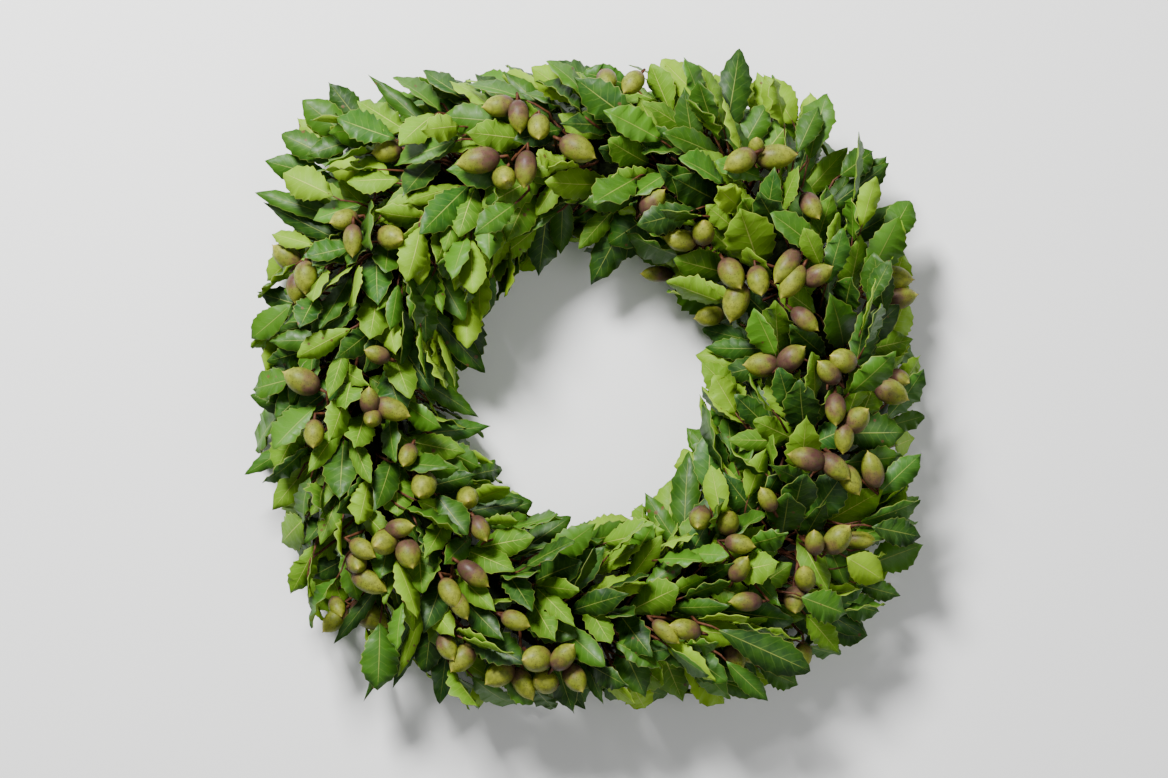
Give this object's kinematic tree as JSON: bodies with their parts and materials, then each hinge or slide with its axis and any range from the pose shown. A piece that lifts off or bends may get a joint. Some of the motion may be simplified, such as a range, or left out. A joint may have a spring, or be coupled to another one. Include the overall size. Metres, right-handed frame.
{
  "type": "wreath",
  "caption": "Round wreath of toothed evergreen leaves and pointed nuts, bound in overlapping bunches on a flat wire ring, lying on its back.",
  "frame": {"origin": "centre of the outline seen from above, at the level of the flat cross bars that the wreath rests on", "axes": "+Z out of the wreath's front, towards the viewer; +Y towards the top of the wreath as pictured; +X to its right"},
  "size_m": [0.4772, 0.471, 0.115],
  "materials": {
    "leaves": "satin",
    "nuts": "satin",
    "ring_wire": "satin",
    "binding_wire": "satin"
  },
  "bodies": {
    "root": {"binding_wire": "binding_wire", "bunch_01": "leaves", "bunch_02": "leaves", "bunch_03": "leaves", "bunch_04": "leaves", "bunch_05": "leaves", "bunch_06": "leaves", "bunch_07": "leaves", "bunch_08": "leaves", "bunch_09": "leaves", "bunch_10": "leaves", "bunch_11": "leaves", "bunch_12": "leaves", "bunch_13": "leaves", "bunch_14": "leaves", "bunch_15": "leaves", "bunch_16": "leaves", "nut_cluster_01": "nuts", "nut_cluster_02": "nuts", "nut_cluster_03": "nuts", "nut_cluster_04": "nuts", "nut_cluster_05": "nuts", "nut_cluster_06": "nuts", "nut_cluster_07": "nuts", "nut_cluster_08": "nuts", "nut_cluster_09": "nuts", "nut_cluster_10": "nuts", "nut_cluster_11": "nuts", "nut_cluster_12": "nuts", "nut_cluster_13": "nuts", "nut_cluster_14": "nuts", "nut_cluster_15": "nuts", "nut_cluster_16": "nuts", "nut_cluster_17": "nuts", "nut_cluster_18": "nuts", "nut_cluster_19": "nuts", "nut_cluster_20": "nuts", "nut_cluster_21": "nuts", "nut_cluster_22": "nuts", "nut_cluster_23": "nuts", "nut_cluster_24": "nuts", "nut_cluster_25": "nuts", "nut_cluster_26": "nuts", "nut_cluster_27": "nuts", "nut_cluster_28": "nuts", "nut_cluster_29": "nuts", "nut_cluster_30": "nuts", "nut_cluster_31": "nuts", "nut_cluster_32": "nuts", "nut_cluster_33": "nuts", "nut_cluster_34": "nuts", "nut_cluster_35": "nuts", "nut_cluster_36": "nuts", "nut_cluster_37": "nuts", "nut_cluster_38": "nuts", "wire_frame": "ring_wire"}
  },
  "joints": []
}
